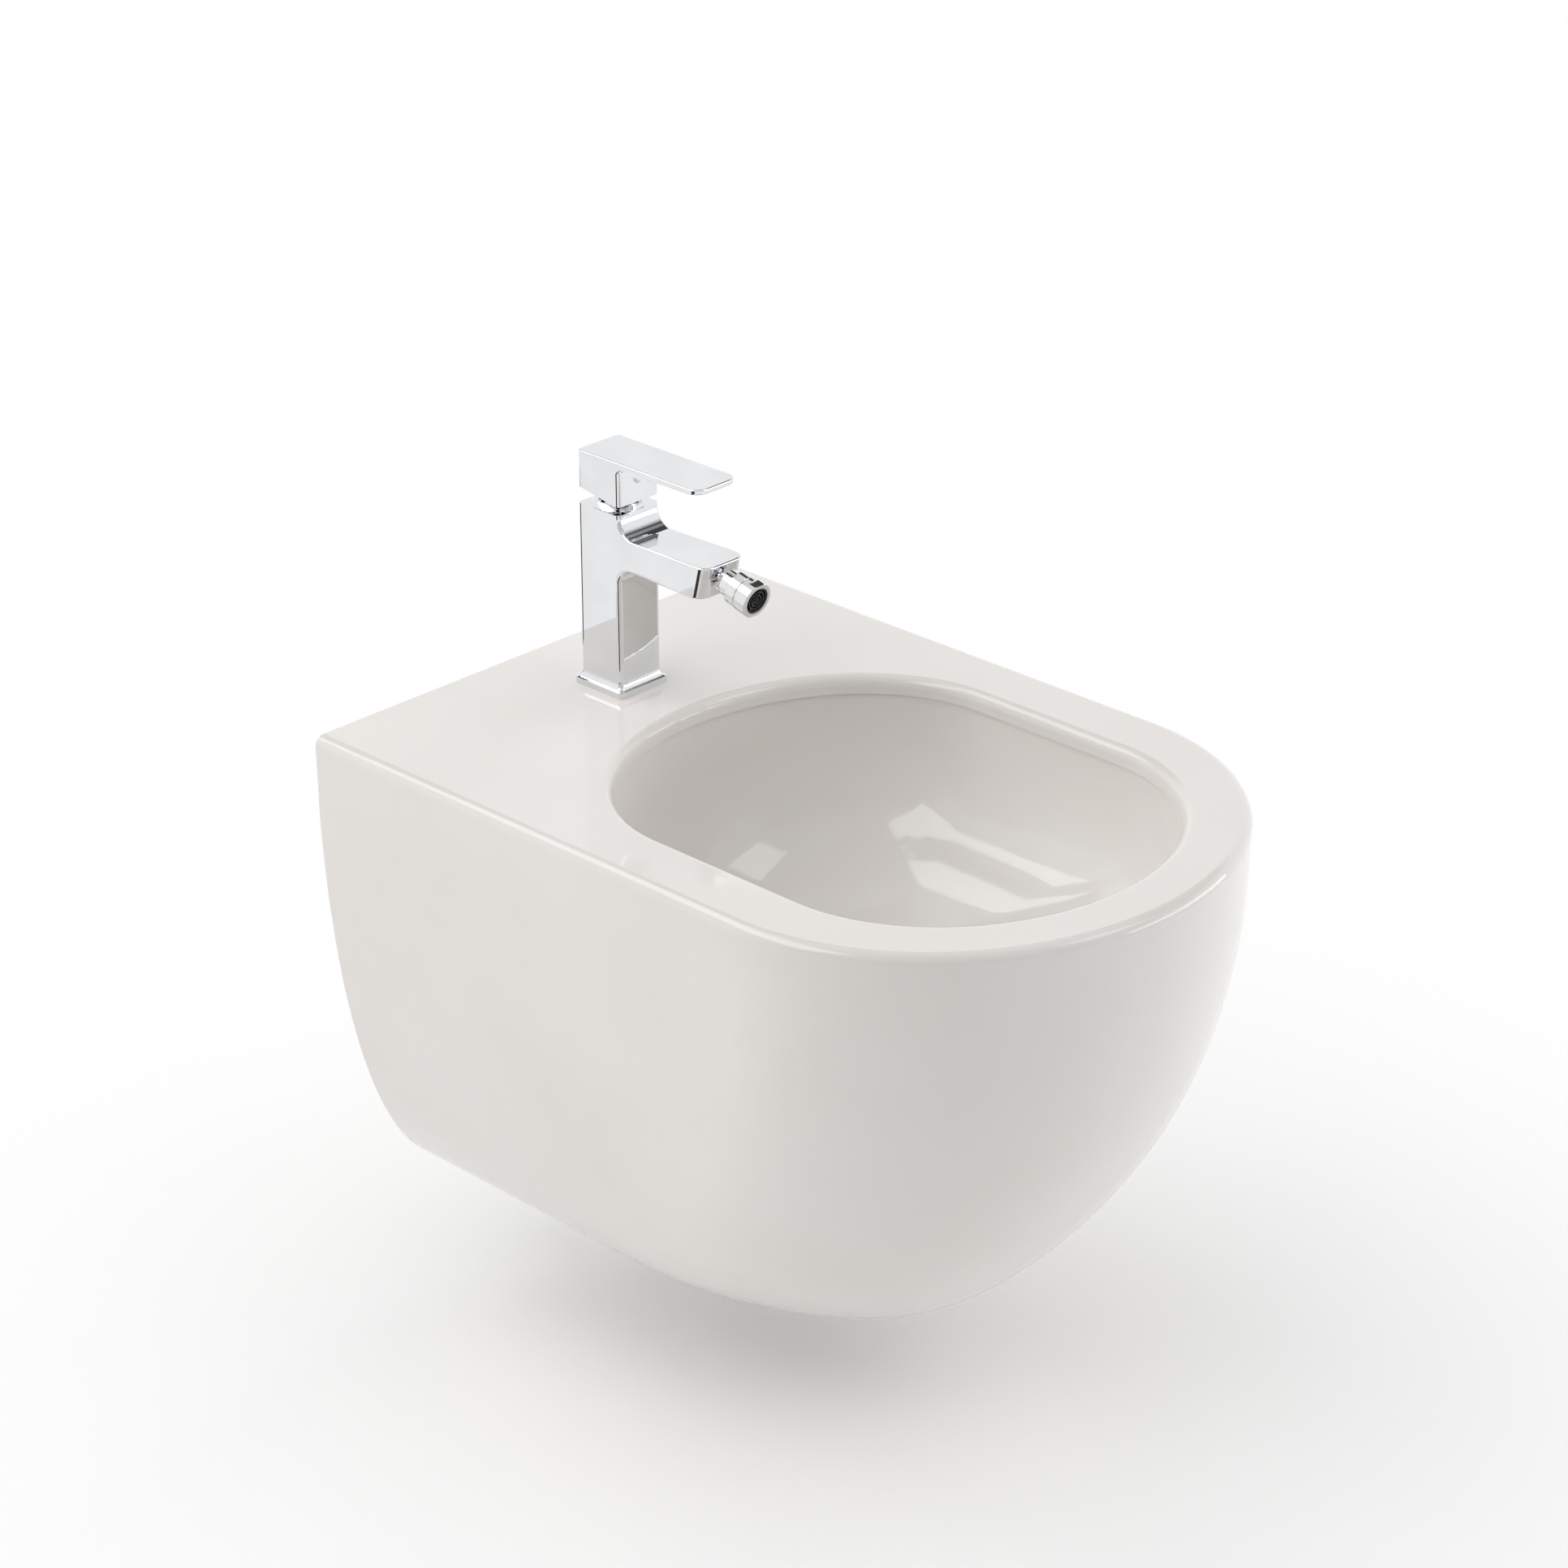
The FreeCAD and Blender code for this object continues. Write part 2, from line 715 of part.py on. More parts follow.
def mixer_clamp():
    """Stud, gasket, plate and nut that pull the mixer down on the deck."""
    gasket_top = -deck_thickness
    plate_top = gasket_top - clamp_gasket_thickness
    nut_top_z = plate_top - clamp_plate_thickness
    stud_top = stud_grip - past
    stud = rod(stud_radius, stud_top - stud_length, stud_top, 0, -stud_offset_y)
    nut_bottom = nut_top_z - stud_nut_height
    nut = hex_nut(stud_nut_flats, nut_bottom, nut_top_z, 0, -stud_offset_y)
    nut = nut.cut(rod(stud_radius + thread_gap, nut_bottom - past, nut_top_z + past, 0, -stud_offset_y))
    save("mounting_stud", on_tap(stud))
    save("clamp_gasket", on_tap(clamp_shape(clamp_gasket_thickness, gasket_top)))
    save("clamp_plate", on_tap(clamp_shape(clamp_plate_thickness, plate_top)))
    save("stud_nut", on_tap(nut))


# Cartridge
def with_inlet_ports(shape, bottom, top):
    for side in (-1, 1):
        x = side * port_offset_x
        shape = shape.cut(rod(inlet_port_radius, bottom - past, top + past, x, inlet_offset_y))
    return shape


def cartridge_housing():
    flange_under = cartridge_top - cartridge_top_flange
    housing = ring(cartridge_radius, cartridge_bore_radius, fixed_disc_z, flange_under)
    opening = guide_neck_radius + running_gap
    housing = housing.fuse(ring(cartridge_radius, opening, flange_under, cartridge_top))
    channel_z = spout_underside + spout_channel_above_underside
    window = block(-spout_channel_radius, spout_channel_radius, -cartridge_radius - past, 0,
                   channel_z - spout_channel_radius, channel_z + spout_channel_radius)
    return housing.cut(window).removeSplitter()


def spindle_guide():
    """Turning guide: carries the pivot pin and slides the disc carrier between two keys."""
    bottom = carrier_top + guide_gap
    shoulder = cartridge_top - cartridge_top_flange - running_gap
    guide = rod(guide_radius, bottom, shoulder).fuse(rod(guide_neck_radius, shoulder, guide_neck_top))
    key_inner = carrier_flat + running_gap
    for side in (-1, 1):
        inner, outer = side * key_inner, side * (key_inner + key_width)
        guide = guide.fuse(block(min(inner, outer), max(inner, outer), -key_half_length, key_half_length,
                                 carrier_z + running_gap, bottom))
    slot_front, slot_back = slot_front_wall - guide_neck_radius, guide_neck_radius - slot_back_wall
    guide = guide.cut(block(-guide_slot_half, guide_slot_half, slot_front, slot_back,
                            bottom - past, guide_neck_top + past))
    pin_bore = rod_along(pivot_pin_radius, at(-pivot_pin_half, 0, pivot_z), X_AXIS, 2 * pivot_pin_half)
    return guide.cut(pin_bore).removeSplitter()


def lever_spindle():
    bar = block(-spindle_half, spindle_half, -spindle_half, spindle_half, pivot_z, spindle_top)
    eye = rod_along(spindle_half, at(-spindle_half, 0, pivot_z), X_AXIS, 2 * spindle_half)
    stem = rod(spindle_rod_radius, ball_end_z, pivot_z)
    ball = Part.makeSphere(ball_end_radius, at(0, 0, ball_end_z))
    spindle = bar.fuse(eye).fuse(stem).fuse(ball)
    bore_half = spindle_half + past
    bore = rod_along(pivot_pin_radius + pivot_play, at(-bore_half, 0, pivot_z), X_AXIS, 2 * bore_half)
    return spindle.cut(bore).removeSplitter()


def disc_carrier():
    carrier = rod(moving_disc_radius, carrier_z, carrier_top, 0, disc_rest_y)
    carrier = carrier.common(block(-carrier_flat, carrier_flat, -column, column, carrier_z, carrier_top))
    pocket = rod(ball_end_radius + running_gap + pivot_play, carrier_z - past, carrier_top + past)
    return carrier.cut(pocket)


def moving_disc():
    disc = rod(moving_disc_radius, moving_disc_z, carrier_z, 0, disc_rest_y)
    chamber_top = moving_disc_z + disc_thickness / 2
    return disc.cut(rod(moving_disc_radius / 2, moving_disc_z - past, chamber_top, 0, disc_rest_y))


def cartridge_nut():
    ring_top = cartridge_top + nut_ring_height
    nut = ring(nut_thread_radius - thread_gap, nut_bore_radius, cartridge_top, ring_top)
    nut = nut.fuse(ring(nut_neck_radius, nut_bore_radius, ring_top, nut_top))
    for turn in (0, 90):
        slot = block(-nut_thread_radius, nut_thread_radius, -nut_slot_width / 2, nut_slot_width / 2,
                     nut_top - nut_slot_depth, nut_top + past)
        nut = nut.cut(slot.rotated(at(0, 0, 0), Z_AXIS, turn))
    return nut.removeSplitter()


def save_cartridge():
    seal = rod(cartridge_radius - running_gap, seat_z, base_plate_z)
    base = rod(cartridge_radius, base_plate_z, fixed_disc_z)
    fixed = rod(guide_radius, fixed_disc_z, moving_disc_z)
    pin = rod_along(pivot_pin_radius, at(-pivot_pin_half, 0, pivot_z), X_AXIS, 2 * pivot_pin_half)
    save("cartridge_seal", on_tap(with_inlet_ports(seal, seat_z, base_plate_z)))
    save("cartridge_base", on_tap(with_inlet_ports(base, base_plate_z, fixed_disc_z)))
    save("fixed_disc", on_tap(with_inlet_ports(fixed, fixed_disc_z, moving_disc_z)))
    save("moving_disc", on_tap(moving_disc()))
    save("disc_carrier", on_tap(disc_carrier()))
    save("cartridge_housing", on_tap(cartridge_housing()))
    save("spindle_guide", on_tap(spindle_guide()))
    save("pivot_pin", on_tap(pin))
    save("lever_spindle", on_tap(lever_spindle()))
    save("cartridge_nut", on_tap(cartridge_nut()))


# Collar and handle
def dome_collar():
    """Cap over the cartridge, a slice of a ball about the lever's pivot."""
    pivot = at(0, 0, pivot_z)
    dome = Part.makeSphere(dome_radius, pivot)
    dome = dome.common(rod(dome_radius + past, column_height, pivot_z + dome_radius + past))
    dome = dome.cut(Part.makeSphere(dome_radius - dome_wall, pivot).common(
        rod(dome_radius, nut_top - nut_slot_depth, pivot_z + dome_radius)))
    dome = dome.cut(rod(nut_neck_radius + thread_gap, column_height - past, nut_top))
    return dome.cut(rod(dome_opening, column_height, pivot_z + dome_radius + past))


def handle_outside():
    """Square block and flat lever from one side profile, with a hollow round under the lever's root."""
    half = column / 2
    tip = half - lever_length
    low_front, low_back = column_height + handle_gap_front, column_height + handle_gap_back

    def side(y, z):
        return at(-half, y, z)

    shape = polygon_prism([
        side(half, low_back),
        side(half, handle_top),
        side(tip, handle_top),
        side(tip, handle_top - lever_tip),
        side(-half, handle_top - lever_root),
        side(-half, low_front),
    ], at(column, 0, 0))
    root = edges_where(shape, lambda e: near(e.BoundBox.XLength, column) and near(e.BoundBox.YMin, -half)
                       and near(e.BoundBox.ZMin, handle_top - lever_root))
    shape = shape.makeFillet(lever_root_round, root)
    corners = edges_where(shape, lambda e: near(e.BoundBox.YMax, tip) and near(e.BoundBox.XLength, 0))
    shape = shape.makeFillet(lever_tip_round, corners)
    shape = round_edges(shape, handle_edge_radii(shape))
    top = edges_where(shape, lambda e: near(e.BoundBox.ZMin, handle_top))
    return shape.makeFillet(lever_edge_round, top)


def handle_edge_radii(shape):
    """The block's broad edge rounds run out along the root's hollow to the lever's fine ones."""
    half = column / 2
    lever_under = handle_top - lever_root - past
    radii = []
    for number, edge in enumerate(shape.Edges, 1):
        box = edge.BoundBox
        on_side = near(box.XLength, 0) and near(abs(box.XMin), half)
        upright = on_side and near(box.YLength, 0)
        under_lever = box.YMax < -half and box.ZMin > lever_under and box.ZMax < handle_top - past
        if upright and near(abs(box.YMin), half):
            radii.append((number, edge_round, edge_round))
        elif on_side and isinstance(edge.Curve, Part.Circle):
            ends = [edge_round if near(end.Y, -half) else lever_edge_round for end in edge.Vertexes]
            radii.append((number, ends[0], ends[1]))
        elif under_lever and not near(box.XLength, column):
            radii.append((number, lever_edge_round, lever_edge_round))
    return radii


def lever_handle():
    half = column / 2
    shape = handle_outside()
    roof = handle_top - lever_root - handle_wall
    inside = half - handle_wall
    room = block(-inside, inside, -inside, inside, column_height, roof)
    boss = socket_boss_half
    room = room.cut(block(-boss, boss, -inside - past, boss, column_height, roof + past))
    shape = shape.cut(room)
    pivot = at(0, 0, pivot_z)
    shape = shape.cut(Part.makeSphere(dome_radius + handle_clearance, pivot))
    socket = spindle_half + socket_play
    shape = shape.cut(block(-socket, socket, -socket, socket, column_height, spindle_top + socket_play))
    outside = at(0, -half - past, screw_height)
    shape = shape.cut(rod_along(screw_radius + thread_gap, outside, Y_AXIS, half))
    return shape.cut(rod_along(cap_radius + thread_gap, outside, Y_AXIS, past + cap_depth))


def handle_screw():
    start = at(0, -spindle_half - screw_length, screw_height)
    return rod_along(screw_radius, start, Y_AXIS, screw_length)


def handle_cap():
    """Plug of the screw hole, with a low crown."""
    front = -column / 2
    cap = rod_along(cap_radius, at(0, front, screw_height), Y_AXIS, cap_depth)
    crown_radius = (cap_radius ** 2 + cap_proud ** 2) / (2 * cap_proud)
    crown = Part.makeSphere(crown_radius, at(0, front - cap_proud + crown_radius, screw_height))
    crown = crown.common(rod_along(cap_radius, at(0, front - past, screw_height), Y_AXIS, past))
    return cap.fuse(crown).removeSplitter()


# Ball-jointed nozzle, along +Z from the middle of the ball
def ball_stem():
    shoulder_back = -tip_to_ball - tip_recess_depth
    stem = rod(stem_thread_radius, shoulder_back - stem_thread_length, shoulder_back)
    stem = stem.fuse(rod(stem_shoulder_radius, shoulder_back, shoulder_back + stem_shoulder))
    stem = stem.fuse(rod(stem_neck_radius, shoulder_back + stem_shoulder, 0))
    stem = stem.fuse(Part.makeSphere(ball_radius))
    bore = rod(stem_bore_radius, shoulder_back - stem_thread_length - past, ball_radius + past)
    return stem.cut(bore).removeSplitter()


def ball_liner_slice(first_angle, last_angle):
    """Lining of the ball between two angles from the nozzle axis."""
    inner = ball_radius + ball_gap
    outer = inner + ball_liner
    low = outer * math.cos(math.radians(last_angle))
    high = outer * math.cos(math.radians(first_angle))
    return spherical_shell(outer, inner, low, high)


def turned_ring(radius, back, front):
    """A short cylinder of the nozzle with rounded rims."""
    shape = rod(radius, back, front)
    rims = edges_where(shape, lambda e: near(e.BoundBox.ZLength, 0))
    return shape.makeFillet(ring_edge_round, rims)


def swivel_cap():
    cap = turned_ring(cap_ring_radius, -cap_ring_back, cap_ring_front)
    cap = cap.fuse(rod(cap_thread_radius, cap_ring_front, cap_ring_front + cap_thread_length))
    cap = cap.cut(rod(ball_recess_radius, 0, cap_ring_front + cap_thread_length + past))
    return cap.cut(Part.makeSphere(ball_recess_radius)).removeSplitter()


def swivel_body():
    body = turned_ring(swivel_radius, cap_ring_front, swivel_front)
    body = body.fuse(rod(aerator_thread_radius, swivel_front, swivel_front + aerator_thread_length))
    socket_end = cap_ring_front + cap_thread_length + thread_gap
    body = body.cut(rod(cap_thread_radius + thread_gap, cap_ring_front - past, socket_end))
    body = body.cut(Part.makeSphere(ball_recess_radius))
    body = body.cut(rod(swivel_bore_radius, 0, swivel_front + aerator_thread_length + past))
    mixing_chamber = Part.makeCone(swivel_bore_radius, aerator_gasket_bore, aerator_thread_length,
                                   at(0, 0, swivel_front))
    return body.cut(mixing_chamber).removeSplitter()


def aerator_housing():
    back = swivel_front + aerator_seam
    housing = turned_ring(aerator_radius, back, aerator_front)
    for side in (-1, 1):
        y = side * (aerator_flats / 2 + aerator_radius / 2)
        flat = block(-aerator_radius, aerator_radius, y - aerator_radius / 2, y + aerator_radius / 2,
                     aerator_front - aerator_flat_length, aerator_front + past)
        housing = housing.cut(flat)
    bore = aerator_thread_radius + thread_gap
    housing = housing.cut(rod(bore, back - past, aerator_front - aerator_lip))
    return housing.cut(rod(aerator_opening_radius, back, aerator_front + past))


def aerator_insert():
    """Outlet grating: a plate with standing rings joined by spokes."""
    radius = aerator_thread_radius
    plate_z = swivel_front + aerator_thread_length + aerator_gasket_thickness
    ring_z = plate_z + insert_plate
    ring_top = aerator_front - insert_recess
    insert = rod(radius, plate_z, ring_z)
    outer = aerator_opening_radius - running_gap
    for step in range(insert_rings):
        rim = outer - step * insert_ring_step
        insert = insert.fuse(ring(rim, rim - insert_ring_width, ring_z - insert_ring_height, ring_top))
    for step in range(insert_spokes):
        spoke = block(0, outer - insert_ring_width / 2, -insert_ring_width / 2, insert_ring_width / 2,
                      ring_z - insert_ring_height, ring_top - insert_ring_height / 2)
        insert = insert.fuse(spoke.rotated(at(0, 0, 0), Z_AXIS, 360 / insert_spokes * step))
    return insert.removeSplitter()


def save_nozzle():
    gasket_z = swivel_front + aerator_thread_length
    gasket = ring(aerator_thread_radius - thread_gap, aerator_gasket_bore, gasket_z,
                  gasket_z + aerator_gasket_thickness)
    save("ball_stem", on_nozzle(ball_stem()))
    save("ball_seat", on_nozzle(ball_liner_slice(seat_front_angle, seat_back_angle)))
    save("ball_seal", on_nozzle(ball_liner_slice(seal_front_angle, seal_back_angle)))
    save("swivel_cap", on_nozzle(swivel_cap()))
    save("swivel_body", on_nozzle(swivel_body()))
    save("aerator_housing", on_nozzle(aerator_housing()))
    save("aerator_gasket", on_nozzle(gasket))
    save("aerator_insert", on_nozzle(aerator_insert()))


# Waste, about the drain's own axis
def on_drain(shape):
    return shape.translated(at(0, drain_y, 0))


def waste_body():
    """Flange, threaded tube with its countersink, and the spider that holds the push cartridge."""
    flange_under = flange_top_z - waste_flange
    nut_bottom = drain_under_z - under_gasket_thickness - friction_washer_thickness - back_nut_height
    tail_bottom = nut_bottom - waste_tail
    body = rod(waste_flange_radius, flange_under, flange_top_z)
    body = body.fuse(rod(waste_thread_radius, tail_bottom, flange_under))
    body = body.cut(ring(waste_thread_radius + past, waste_thread_radius - tail_groove_depth,
                         nut_bottom - tail_groove, nut_bottom))
    body = body.cut(rod(waste_bore_radius, tail_bottom - past, flange_top_z + past))
    countersink_radius = waste_bore_radius + waste_countersink
    countersink = Part.makeCone(waste_bore_radius, countersink_radius, waste_countersink,
                                at(0, 0, flange_top_z - waste_countersink))
    body = body.cut(countersink)
    hub_top = flange_top_z - spider_below_flange
    hub_bottom = hub_top - spider_height
    spider = rod(spider_hub_radius, hub_bottom, hub_top)
    for step in range(spider_arms):
        arm = block(0, (waste_bore_radius + waste_thread_radius) / 2, -spider_arm_half, spider_arm_half,
                    hub_bottom, hub_top)
        spider = spider.fuse(arm.rotated(at(0, 0, 0), Z_AXIS, 360 / spider_arms * step + 90))
    spider = spider.cut(rod(push_housing_radius + thread_gap, hub_bottom - past, hub_top + past))
    return body.fuse(spider).removeSplitter()


def helix_tube(radius, wire_radius, turns, bottom, top):
    """Coil spring: a round wire along arcs of a quarter turn each."""
    quarters = 4 * turns

    def spot(quarter):
        angle = math.pi / 2 * quarter
        height = bottom + (top - bottom) * quarter / quarters
        return at(radius * math.cos(angle), radius * math.sin(angle), height)

    arcs = [Part.Arc(spot(q), spot(q + 0.5), spot(q + 1)).toShape() for q in range(quarters)]
    path = Part.Wire(arcs)
    section = Part.Wire(Part.makeCircle(wire_radius, spot(0), arcs[0].tangentAt(arcs[0].FirstParameter)))
    return path.makePipeShell([section], True, False)


def save_waste():
    seat_bottom = drain_under_z
    washer_top = seat_bottom - under_gasket_thickness
    nut_top_z = washer_top - friction_washer_thickness
    bore = waste_thread_radius + thread_gap
    nut = hex_nut(back_nut_flats, nut_top_z - back_nut_height, nut_top_z)
    save("waste_body", on_drain(waste_body()))
    gasket = ring(waste_gasket_radius, bore, drain_seat_z, drain_seat_z + waste_gasket)
    save("flange_gasket", on_drain(gasket))
    save("under_gasket", on_drain(ring(under_gasket_radius, bore, washer_top, seat_bottom)))
    save("friction_washer", on_drain(ring(under_gasket_radius, bore, nut_top_z, washer_top)))
    save("back_nut", on_drain(nut.cut(rod(bore, nut_top_z - back_nut_height - past, nut_top_z + past))))


def save_push_cartridge():
    hub_top = flange_top_z - spider_below_flange
    housing_top = hub_top + push_housing_above_hub
    housing_bottom = hub_top - spider_height - push_housing_below_hub
    inner = push_housing_radius - push_housing_wall
    housing = rod(push_housing_radius, housing_bottom, housing_top)
    housing = housing.fuse(rod(push_shoulder_radius, hub_top, hub_top + push_shoulder))
    housing = housing.cut(rod(inner, housing_bottom + push_housing_wall, housing_top + past))
    cap_top = housing_top + push_cap_height
    cap = ring(push_housing_radius, plunger_rod_radius + thread_gap, housing_top, cap_top)

    plug_under = flange_top_z - plug_sink + plug_travel
    plug_top = plug_under + plug_edge
    crown_radius = (plug_radius ** 2 + plug_crown ** 2) / (2 * plug_crown)
    crown = Part.makeSphere(crown_radius, at(0, 0, plug_top + plug_crown - crown_radius))
    plug = rod(plug_radius, plug_under, plug_top)
    plug = plug.fuse(crown.common(rod(plug_radius, plug_top, plug_top + plug_crown + past)))
    plug = plug.fuse(rod(plug_boss_radius, plug_under - plug_boss_length, plug_under))
    rod_top = plug_under - plug_roof
    plug = plug.cut(rod(plunger_rod_radius + thread_gap, plug_under - plug_boss_length - past, rod_top))
    seal_radius = waste_bore_radius
    seal = ring(seal_radius, seal_radius - plug_seal_width, plug_under - plug_seal_thickness, plug_under)

    piston_top = housing_top - running_gap
    piston_bottom = piston_top - plunger_piston_height
    plunger = rod(plunger_piston_radius, piston_bottom, piston_top)
    plunger = plunger.fuse(rod(plunger_rod_radius, piston_top, rod_top)).removeSplitter()
    floor = housing_bottom + push_housing_wall
    spring_end = spring_wire_radius + running_gap
    spring = helix_tube(spring_radius, spring_wire_radius, spring_turns, floor + spring_end,
                        piston_bottom - spring_end)
    save("push_housing", on_drain(housing.removeSplitter()))
    save("push_cap", on_drain(cap))
    save("waste_plug", on_drain(plug.removeSplitter()))
    save("plug_seal", on_drain(seal))
    save("push_plunger", on_drain(plunger))
    save("return_spring", on_drain(spring))


os.makedirs("parts", exist_ok=True)
save_china()
for piece_name, pieces in zip(("fixing_sleeves", "fixing_washers", "fixing_nuts"), wall_fixing()):
    save(piece_name, pieces)
save("mixer_body", on_tap(mixer_body()))
save("base_seal", on_tap(base_seal()))
mixer_clamp()
save_cartridge()
save("dome_collar", on_tap(dome_collar()))
save("lever_handle", on_tap(lever_handle()))
save("handle_screw", on_tap(handle_screw()))
save("handle_cap", on_tap(handle_cap()))
save_nozzle()
save_waste()
save_push_cartridge()
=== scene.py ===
# %% [markdown]
# This lesson finishes a wall-hung bidet: one hollow piece of glazed china, a square chrome mixer tap
# with a ball-jointed nozzle, and a push-to-close waste in the basin.
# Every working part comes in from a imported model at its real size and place, and Blender gives it its looks.
# The frame is in metres: X to the right, Y into the wall, Z up, with the wall at Y = 0.

# %% Load the working parts
import json
import math

import bpy
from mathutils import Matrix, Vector


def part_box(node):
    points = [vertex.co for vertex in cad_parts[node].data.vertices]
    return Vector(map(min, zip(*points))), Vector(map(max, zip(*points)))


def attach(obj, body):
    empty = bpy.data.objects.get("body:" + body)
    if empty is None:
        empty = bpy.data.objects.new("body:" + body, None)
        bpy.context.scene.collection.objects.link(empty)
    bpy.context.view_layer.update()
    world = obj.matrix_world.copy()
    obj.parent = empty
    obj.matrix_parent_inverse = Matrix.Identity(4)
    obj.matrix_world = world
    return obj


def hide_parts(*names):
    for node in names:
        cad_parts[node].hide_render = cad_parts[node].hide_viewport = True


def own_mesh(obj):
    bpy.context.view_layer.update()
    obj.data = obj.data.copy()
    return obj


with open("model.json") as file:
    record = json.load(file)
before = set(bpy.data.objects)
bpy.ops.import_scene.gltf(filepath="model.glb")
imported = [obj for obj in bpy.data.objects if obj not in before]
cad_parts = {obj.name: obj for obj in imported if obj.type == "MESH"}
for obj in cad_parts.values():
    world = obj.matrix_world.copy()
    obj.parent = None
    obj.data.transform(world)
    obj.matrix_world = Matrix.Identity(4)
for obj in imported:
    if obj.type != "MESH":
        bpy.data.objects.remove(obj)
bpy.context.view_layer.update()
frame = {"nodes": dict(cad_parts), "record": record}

mm = 0.001

# %% [markdown]
# A product picture is mostly its camera. The long straight edges of the rim run to two vanishing points,
# and those give the angle round the object, the height of the eye and the lens.
# A camera that is set from such numbers shows the object's proportions as the picture does, so that later
# differences are differences of shape and not of viewpoint.

# %% The camera
view_azimuth = math.radians(-46.14)
view_elevation = math.radians(25.53)
eye = (-1.648, -1.791, 1.148)
focal_pixels = 5347.0
image_pixels = 1932.0

camera_data = bpy.data.cameras.new("photo_camera")
camera_data.sensor_width = 36.0
camera_data.lens = camera_data.sensor_width * focal_pixels / image_pixels
camera_data.clip_start = 0.01
camera_data.clip_end = 100.0
camera = bpy.data.objects.new("photo_camera", camera_data)
bpy.context.scene.collection.objects.link(camera)
camera.location = eye
camera.rotation_euler = (math.pi / 2 - view_elevation, 0.0, view_azimuth)
bpy.context.scene.camera = camera
print("lens", round(camera_data.lens, 1), "mm")

# %% [markdown]
# Materials are small graphs of nodes. One helper turns a colour as a painter writes it, an sRGB hex value,
# into the linear numbers that a shader takes. Another adds a node with its settings and its links in one go.
# Nearly every finish here is a colour that drifts in clouds and a roughness that varies in a finer grain, so a
# third helper makes both from noise, stretched by Map Range nodes over the values that noise really takes.
# It names the two nodes that a finish may need again: "place" and "grain".

# %% Helpers for materials
noise_low, noise_high = 0.3, 0.7


def linear(hex_colour):
    """The linear RGBA of an sRGB hex colour."""
    shares = [int(hex_colour[place:place + 2], 16) / 255 for place in (1, 3, 5)]
    return [s / 12.92 if s <= 0.04045 else ((s + 0.055) / 1.055) ** 2.4 for s in shares] + [1.0]


def add(tree, kind, sockets=None, **settings):
    """Adds a node. A socket takes a plain value, or the output that is linked to it."""
    made = tree.nodes.new("ShaderNode" + kind)
    for name, value in settings.items():
        setattr(made, name, value)
    for name, value in (sockets or {}).items():
        if isinstance(value, bpy.types.NodeSocket):
            tree.links.new(value, made.inputs[name])
        else:
            made.inputs[name].default_value = value
    return made


def cloudy_material(name, low_hex, high_hex, cloud_mm, low_rough, high_rough, grain_mm):
    """A material whose colour drifts in clouds and whose roughness varies in a finer grain."""
    material = bpy.data.materials.new(name)
    material.use_nodes = True
    tree = material.node_tree
    place = add(tree, "TexCoord", name="place").outputs["Object"]
    clouds = add(tree, "TexNoise", {"Vector": place, "Scale": 1 / (cloud_mm * mm)}).outputs["Fac"]
    drift = add(tree, "MapRange", {"Value": clouds, "From Min": noise_low, "From Max": noise_high})
    colour = add(tree, "MixRGB", {"Fac": drift.outputs["Result"],
                                  "Color1": linear(low_hex), "Color2": linear(high_hex)})
    grain = add(tree, "TexNoise", {"Vector": place, "Scale": 1 / (grain_mm * mm)}, name="grain")
    rough = add(tree, "MapRange", {"Value": grain.outputs["Fac"], "From Min": noise_low, "From Max": noise_high,
                                   "To Min": low_rough, "To Max": high_rough})
    shader = tree.nodes["Principled BSDF"]
    tree.links.new(colour.outputs["Color"], shader.inputs["Base Color"])
    tree.links.new(rough.outputs["Result"], shader.inputs["Roughness"])
    return material


print("helpers ready")

# %% [markdown]
# The body is vitreous china: a white clay, sprayed with an opaque warm-white glaze and fired once.
# The melted glaze is glass, so the shine is even and sharp, with an IOR near 1.5. It flows a little while it is
# soft, which leaves a very slight waviness. Where no glaze was sprayed the clay stays bare: dull, and a
# touch yellower, with a fine sandy grain. The waves and the grain are far too shallow to model, so they are bumps.

# %% Glazed china and bare clay
glazed_china = cloudy_material("glazed_china", "#E7E3DF", "#EAE7E3", cloud_mm=120.0,
                               low_rough=0.05, high_rough=0.09, grain_mm=30.0)
tree = glazed_china.node_tree
shader = tree.nodes["Principled BSDF"]
wave_length = 16.0 * mm
place = tree.nodes["place"].outputs["Object"]
waves = add(tree, "TexNoise", {"Vector": place, "Scale": 1 / wave_length, "Detail": 1.0}).outputs["Fac"]
bump = add(tree, "Bump", {"Height": waves, "Distance": 0.02 * mm, "Strength": 0.3})
tree.links.new(bump.outputs["Normal"], shader.inputs["Normal"])
shader.inputs["IOR"].default_value = 1.52

bare_clay = cloudy_material("bare_clay", "#DBD5C9", "#E0DACE", cloud_mm=25.0,
                            low_rough=0.75, high_rough=0.95, grain_mm=0.8)
tree = bare_clay.node_tree
sand = tree.nodes["grain"].outputs["Fac"]
bump = add(tree, "Bump", {"Height": sand, "Distance": 0.08 * mm, "Strength": 0.6})
tree.links.new(bump.outputs["Normal"], tree.nodes["Principled BSDF"].inputs["Normal"])
print("china", glazed_china.name, bare_clay.name)

# %% [markdown]
# The tap is cast brass, ground and polished, then plated with nickel and a thin skin of chromium.
# Chrome has hardly a colour of its own: it is a slightly cool mirror, so what it shows is the room.
# Nuts and washers are zinc-plated steel, which is duller and bluer. Brass keeps the fine rings of the lathe:
# noise that is drawn out across the axis of turning, and stays fine along it, makes them.

